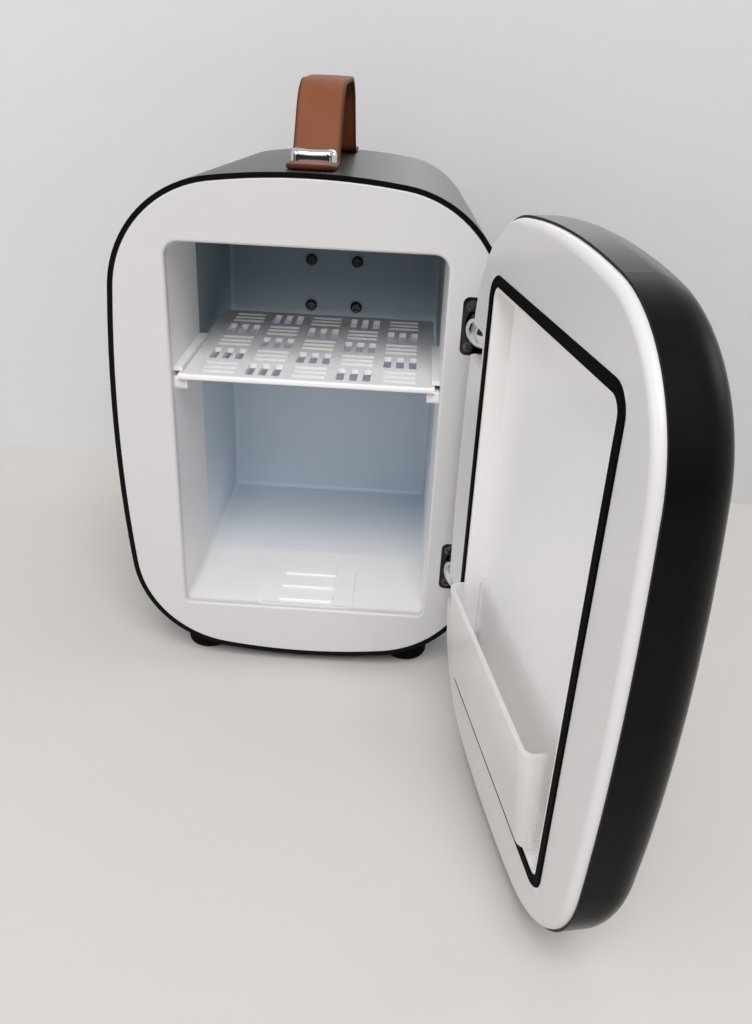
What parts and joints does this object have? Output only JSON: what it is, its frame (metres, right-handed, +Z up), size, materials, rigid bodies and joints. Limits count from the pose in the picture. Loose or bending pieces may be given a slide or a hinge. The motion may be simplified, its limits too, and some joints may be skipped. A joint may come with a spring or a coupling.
{
  "type": "mini fridge",
  "caption": "Portable mini fridge with a bowed, tapered cabinet, hinged domed door, slide-out shelf, lift-out door pocket, carrying strap and a fan-cooled thermoelectric unit at the rear.",
  "frame": {"origin": "middle of the cabinet in width and depth, on the floor that the feet stand on", "axes": "+X to the right as seen from the front, -Y out of the front, +Z up"},
  "size_m": [0.2357, 0.3995, 0.295],
  "materials": {
    "black_shell": "satin black",
    "white_plastic": "satin white",
    "cavity_metal": "satin",
    "foam": "matte closed-cell foam",
    "chrome": "polished",
    "steel": "plain",
    "dark_steel": "blackened",
    "seal_rubber": "matte",
    "foot_rubber": "matte",
    "strap_leather": "smooth, dark edges",
    "shelf_plastic": "satin, slightly translucent",
    "pocket_plastic": "milky, partly see-through",
    "bare_aluminium": "milled",
    "module_ceramic": "matte",
    "magnet_ferrite": "matte",
    "black_plastic": "fine texture",
    "gloss_black": "glossy",
    "board_green": "satin",
    "brass": "plain"
  },
  "bodies": {
    "cabinet": {"outer_shell": "black_shell", "front_frame": "white_plastic", "inner_liner": "cavity_metal", "cabinet_insulation": "foam", "rear_cover": "black_plastic", "rear_cover_screws": "dark_steel", "cold_block": "bare_aluminium", "cold_block_screws": "dark_steel", "peltier_module": "module_ceramic", "heat_sink": "bare_aluminium", "fan_frame": "black_plastic", "fan_screws": "steel", "power_board": "board_green", "transformer": "dark_steel", "capacitors": "bare_aluminium", "mains_inlet": "black_plastic", "mains_inlet_pins": "brass", "low_voltage_jack": "black_plastic", "low_voltage_pin": "brass", "switch_housing": "black_plastic", "handle_strap": "strap_leather", "handle_clip_screws": "steel", "hinge_plate_screws": "steel", "handle_clip_front": "chrome", "handle_clip_rear": "chrome", "foot_front_left": "foot_rubber", "foot_front_right": "foot_rubber", "foot_rear_left": "foot_rubber", "foot_rear_right": "foot_rubber", "hinge_upper": "chrome", "hinge_lower": "chrome", "keeper_upper": "steel", "keeper_lower": "steel"},
    "door": {"door_shell": "black_shell", "door_liner": "white_plastic", "door_gasket": "seal_rubber", "door_insulation": "foam", "hinge_pin_upper": "steel", "hinge_pin_lower": "steel", "door_magnet_upper": "magnet_ferrite", "door_magnet_lower": "magnet_ferrite"},
    "pocket": {"door_pocket": "pocket_plastic"},
    "shelf": {"shelf": "shelf_plastic"},
    "fan": {"fan_rotor": "black_plastic"},
    "switch": {"switch_rocker": "gloss_black"}
  },
  "joints": [
    {"name": "door_hinge", "type": "hinge", "parent": "cabinet", "child": "door", "pos_m": [0.0905, -0.1135, 0.1335], "axis": [0, 0, 1], "range_deg": [-102, 18]},
    {"name": "shelf_slide", "type": "slide", "parent": "cabinet", "child": "shelf", "axis": [0, -1, 0], "range_m": [0, 0.1]},
    {"name": "pocket_lift", "type": "slide", "parent": "door", "child": "pocket", "axis": [0, 0, 1], "range_m": [0, 0.016]},
    {"name": "switch_rock", "type": "hinge", "parent": "cabinet", "child": "switch", "pos_m": [0.034, 0.0973, 0.0675], "axis": [1, 0, 0], "range_deg": [-8, 8]},
    {"name": "fan_spin", "type": "hinge", "parent": "cabinet", "child": "fan", "pos_m": [0, 0.0875, 0.1777], "axis": [0, 1, 0], "continuous": true}
  ]
}
